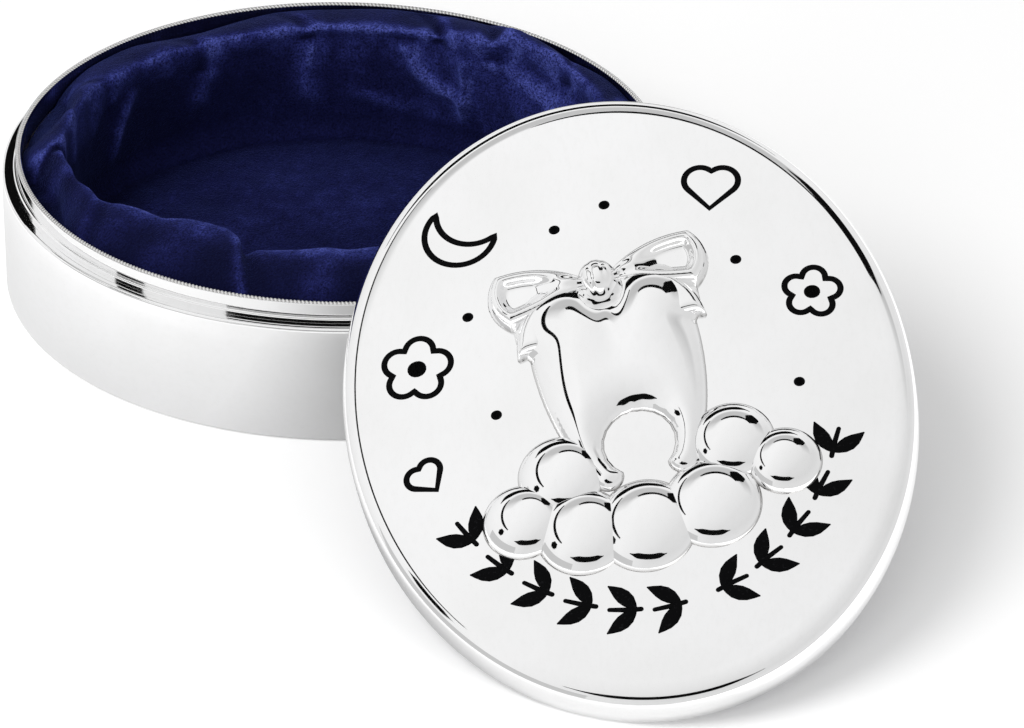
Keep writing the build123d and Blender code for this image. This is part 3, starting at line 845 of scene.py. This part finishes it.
def flowerLine(size):
    radius, away = size * motif["petal"] - enamel["stroke"], size * (1 - motif["petal"])
    points = []
    each = 360 // motif["petals"]
    for degrees in range(0, 360, 4):
        off = math.radians((degrees + each / 2) % each - each / 2)
        reach = away * math.cos(off) + math.sqrt(radius ** 2 - (away * math.sin(off)) ** 2)
        points.append((reach * math.cos(math.radians(degrees)), reach * math.sin(math.radians(degrees))))
    return points


strokes = []  # each is its points, their radii, and whether it closes


def drawLoop(points, right, up, turn=0):
    strokes.append((placed(points, right, up, turn), [enamel["stroke"]] * len(points), True))


def drawDot(right, up, radius, half):
    strokes.append(([(right - half, up), (right + half, up)], [radius] * 2, False))


for right, up, lobe, turn in motif["hearts"]:
    drawLoop(heartLine(lobe - enamel["stroke"]), right, up, turn)
right, up, size, turn = motif["moon"]
drawLoop(moonLine(size), right, up, turn)
for right, up, size in motif["flowers"]:
    drawLoop(flowerLine(size), right, up)
    drawDot(right, up, size * motif["eye"], 0.05)
halfWide, halfHigh = motif["garland"]
for x, y in motif["dots"]:
    drawDot(halfWide * x, halfHigh * y, motif["dot"], 0.03)
for i in range(motif["sprigs"]):
    turn = math.radians(motif["ends"][0] + (motif["ends"][1] - motif["ends"][0]) * i / (motif["sprigs"] - 1))
    right, up = halfWide * math.cos(turn), halfHigh * math.sin(turn)
    along = math.degrees(math.atan2(halfHigh * math.cos(turn), -halfWide * math.sin(turn)))
    along = along if i >= motif["sprigs"] / 2 else along + 180  # the sprigs of both halves point to the right
    stem = [(-0.4, 0), (0.6, 0.05), (motif["stem"] - 0.85, 0)]
    strokes.append((placed(stem, right, up, along), motif["stemWidths"], False))
    for side in (-1, 1):
        blade = [(motif["leaf"] * share, motif["leafBow"] * side * math.sin(math.pi * share))
                 for share in motif["leafShares"]]
        strokes.append((placed(blade, right, up, along + side * motif["leafTurn"]), motif["leafWidths"], False))

# Round strokes are bevelled curves, with a ball at both ends of each open one, and are flattened onto the panel.
curve = bpy.data.curves.new("strokes", "CURVE")
curve.dimensions, curve.bevel_depth, curve.bevel_resolution, curve.use_fill_caps = "3D", 1.0, 3, True
for points, radii, closes in strokes:
    line = curve.splines.new("POLY")
    line.points.add(len(points) - 1)
    for point, (x, y), radius in zip(line.points, points, radii):
        point.co, point.radius = (x, y, 0, 1), radius
    line.use_cyclic_u = closes
holder = linked("strokes", curve)
bpy.context.view_layer.update()
mesh = bpy.data.meshes.new_from_object(holder.evaluated_get(bpy.context.evaluated_depsgraph_get()))
bpy.data.objects.remove(holder)
shape = bmesh.new()
shape.from_mesh(mesh)
for points, radii, closes in strokes:
    for end in () if closes else (0, -1):
        bmesh.ops.create_uvsphere(shape, u_segments=16, v_segments=8, radius=radii[end],
                                  matrix=Matrix.Translation((*points[end], 0)))
for vert in shape.verts:
    rise = vert.co.z
    if rise > 0:
        rise = enamel["proud"] * math.sin(min(1.0, rise / enamel["round"]) * math.pi / 2)
    else:
        rise = -enamel["sunk"] * min(1.0, -rise / enamel["round"])
    vert.co.z = panelHeight(vert.co.x, vert.co.y) + rise
bmesh.ops.transform(shape, matrix=ontoLid, verts=shape.verts)
enamelLines = objectFrom(shape, "enamelLines", enamelBlack, "lid", "enamel", "enamel_fill")
print("enamel made", len(enamelLines.data.polygons))


# The lining of the lid

lidPad = dict(edge=2.05, top=1.9, bottom=1.2, cells=64)
shape = ovalGrid(lidPad["cells"], lidPad["edge"] + 0.35, upright=True)
for vert in shape.verts:
    vert.co.z = lidPad["bottom"] + 0.1 * noise.noise(Vector((vert.co.x, vert.co.y, 9.0)) * 0.2)
closeRows(shape, ((lidPad["edge"] + 0.12, lidPad["bottom"] + 0.08), (lidPad["edge"], lidPad["bottom"] + 0.25),
                  (lidPad["edge"], lidPad["top"])), upright=True, gridInset=lid["gridInset"])
# A low, even painted sheen with random tone
paintedLightLayer = shape.verts.layers.float.new("crest")
for vert in shape.verts:
    vert[paintedLightLayer] = 0.2 + 0.15 * noise.noise(vert.co * 0.2)
bmesh.ops.transform(shape, matrix=ontoLid, verts=shape.verts)
lidLining = objectFrom(shape, "lidLining", velvetCloth, "lid", "velvet", "lid_velvet")
print("lid lining made")


# The carried-over pieces

for node, material in (("wall_card", boardGrey), ("floor_card", boardGrey), ("lid_card", boardGrey),
                       ("wall_wadding", fibreWhite), ("floor_wadding", fibreWhite), ("lid_wadding", fibreWhite)):
    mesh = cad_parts[node].data
    mesh.materials.clear()
    mesh.materials.append(material)


# The table, light and camera, all in metres. The table carries a painted glow that only the metal's reflections see,
# more to the right of the lid.

studio = dict(floorSize=6.0, floorGrey=0.8, shadeGrey=0.35, seenGlow=0.26, mirroredGlow=0.18, rightGlow=3.8,
              farGlow=1.5, fill=0.52, keyPower=1.9, keySize=0.34, keyPlace=(-0.28, -0.24, 0.5),
              frontPower=1.1, frontSize=0.3, frontPlace=(-0.12, -0.6, 0.4),
              lens=281.25, pitch=0.649, compass=0.056, target=(0.01469, -0.011122, 0.0), distance=0.6482)

floorSheet = Sheet("paleTable", {"Roughness": 0.9, "Specular IOR Level": 0.0, "Emission Color": grey(1.0)})
seen = floorSheet.onRays("Is Camera Ray")
mirrored = floorSheet.onRays("Is Glossy Ray", "Is Transmission Ray")
# Painted reflection: in the metal the table's painted glow fades out close to the box and under the lid's left side,
# and painted shade darkens the table beside the lid.
spot = floorSheet.place()
perSize = (1 / (box["halfLength"] * mm), 1 / (box["halfWidth"] * mm), 0)
boxSizes = floorSheet.node("Mapping", None, {"Vector": spot, "Scale": perSize})
away = floorSheet.node("VectorMath", dict(operation="LENGTH"), {0: boxSizes}, "Value")
across, backwards = floorSheet.axis(spot, "X"), floorSheet.axis(spot, "Y")
shadeUnderLid = floorSheet.spread(across, -0.028, 0.002) * floorSheet.spread(backwards, -0.0615, -0.0505)
shadeBesideLid = floorSheet.spread(across, -0.010, 0.002) * floorSheet.spread(backwards, -0.055, -0.038)
paintedGlow = floorSheet.spread(away, 1.0, 1.6, (0.0, studio["farGlow"])) * (1 - shadeUnderLid)
paintedGlow = paintedGlow + floorSheet.spread(across, 0.036, 0.050, (0.0, studio["rightGlow"]))
tableColour = floorSheet.mix(mirrored * shadeBesideLid * 0.5, grey(studio["floorGrey"]), grey(studio["shadeGrey"]))
floorSheet.set({"Emission Strength": seen * studio["seenGlow"] + mirrored * paintedGlow * studio["mirroredGlow"],
                "Base Color": tableColour})
shape = bmesh.new()
bmesh.ops.create_grid(shape, x_segments=1, y_segments=1, size=studio["floorSize"] / 2)
table = linked("table", meshFrom(shape, "table", floorSheet.owner))
table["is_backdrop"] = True

world = bpy.data.worlds.new("studio")
bpy.context.scene.world = world
worldSheet = Sheet("studio", world=world)
direction = worldSheet.node("TexCoord", out="Generated")
sideways, backwards, height = (worldSheet.axis(direction, name) for name in "XYZ")
bright = worldSheet.ramp(height, [(0.0, grey(0.84)), (0.25, grey(0.9)), (0.6, grey(0.95)), (1.0, grey(0.965))])
dim = worldSheet.ramp(height, [(0.0, grey(0.78)), (0.25, grey(0.78)), (0.6, grey(0.73)), (1.0, grey(0.79))])
tent = worldSheet.mix(worldSheet.spread(sideways * 0.8 - backwards * 0.5, -0.3, 0.4), bright, dim)
behind = worldSheet.spread(backwards, 0.18, 0.4) * worldSheet.spread(height, 0.7, 0.76)
tent = worldSheet.mix(behind * worldSheet.spread(height, 0.86, 0.9, (1.0, 0.0)), tent, grey(0.56))
light = worldSheet.mix(worldSheet.onRays("Is Glossy Ray", "Is Transmission Ray"), grey(studio["fill"]), tent)
light = worldSheet.mix(worldSheet.onRays("Is Camera Ray"), light, grey(1.0))
worldSheet.set({"Color": light, "Strength": 1.0})


def aim(piece, spot, direction):
    piece.location = spot
    piece.rotation_mode = "QUATERNION"
    piece.rotation_quaternion = direction.to_track_quat("-Z", "Y")


for name in ("key", "front"):
    lampData = bpy.data.lights.new(name, "AREA")
    lampData.energy, lampData.size, lampData.shape = studio[name + "Power"], studio[name + "Size"], "DISK"
    lamp = linked(name, lampData)
    spot = Vector(studio[name + "Place"])
    aim(lamp, spot, -spot)
    lamp.visible_glossy = False
    lamp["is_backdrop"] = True

pitch, compass = studio["pitch"], studio["compass"]
forward = Vector((-math.sin(compass) * math.cos(pitch), math.cos(compass) * math.cos(pitch), -math.sin(pitch)))
cameraData = bpy.data.cameras.new("camera")
cameraData.lens, cameraData.sensor_width, cameraData.sensor_fit = studio["lens"], 36.0, "HORIZONTAL"
cameraData.clip_start, cameraData.clip_end = 0.01, 50.0
camera = linked("camera", cameraData)
aim(camera, Vector(studio["target"]) - forward * studio["distance"], forward)
bpy.context.scene.camera = camera

# Strips stand for the gap round the camera, the seams of the light tent and a grey card. Only the metal shows them.
# Each is an arc of the compass, 0 towards the camera and turning left, between two heights in degrees, how much its
# ends narrow, and its tone.
tentWall = dict(radius=0.75, steps=40, dark=0.004, card=0.6)
strips = dict(
    cameraGap=(-26, 32, 31, 43, 0.85, tentWall["dark"]), leftGap=(59.5, 72.5, 31.5, 43, 0.95, tentWall["dark"]),
    backLeft=(126, 201, 30.5, 44, 0.85, tentWall["dark"]), leftSeam=(58, 134, 47, 51, 0.5, tentWall["dark"]),
    backSeam=(146, 212, 62.5, 66.5, 0.4, tentWall["dark"]), backRight=(202, 232, 46, 66, 0.8, tentWall["dark"]),
    greyPanel=(24, 84, 2, 24, 0.1, tentWall["card"]))
for name, (start, end, low, high, taper, tone) in strips.items():
    shape = bmesh.new()
    radius, low, high = tentWall["radius"], math.radians(low), math.radians(high)
    ends = [shape.verts.new((0, -radius * math.cos(a), radius * math.sin(a))) for a in (low, high)]
    edge = shape.edges.new(ends)
    startTurn, endTurn = math.radians(-start), math.radians(-end)
    bmesh.ops.rotate(shape, verts=ends, cent=(0, 0, 0), matrix=Matrix.Rotation(startTurn, 3, "Z"))
    bmesh.ops.spin(shape, geom=ends + [edge], cent=(0, 0, 0), axis=(0, 0, 1), angle=endTurn - startTurn,
                   steps=tentWall["steps"], use_merge=False, dvec=(0, 0, 0), use_duplicate=False)
    middle = (low + high) / 2
    for vert in shape.verts:  # the strip narrows towards both ends
        turn = math.atan2(-vert.co.x, -vert.co.y) % (2 * math.pi)
        share = abs(((math.degrees(turn) - start) % 360) / (end - start) - 0.5) * 2
        rise = middle + (math.asin(vert.co.z / radius) - middle) * (1 - taper * smooth(share, 0.5, 1.0))
        level = Vector((vert.co.x, vert.co.y, 0)).normalized()
        vert.co = level * radius * math.cos(rise) + Vector((0, 0, radius * math.sin(rise)))
    stripSheet = Sheet(name, {"Base Color": grey(0.0), "Specular IOR Level": 0.0, "Roughness": 1.0,
                              "Emission Color": grey(tone), "Emission Strength": 1.0})
    piece = linked(name, meshFrom(shape, name, stripSheet.owner))
    piece.visible_camera = piece.visible_diffuse = piece.visible_shadow = piece.visible_transmission = False
    piece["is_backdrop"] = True

bpy.context.scene.view_settings.view_transform = "Standard"
print("studio made")

low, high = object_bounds()
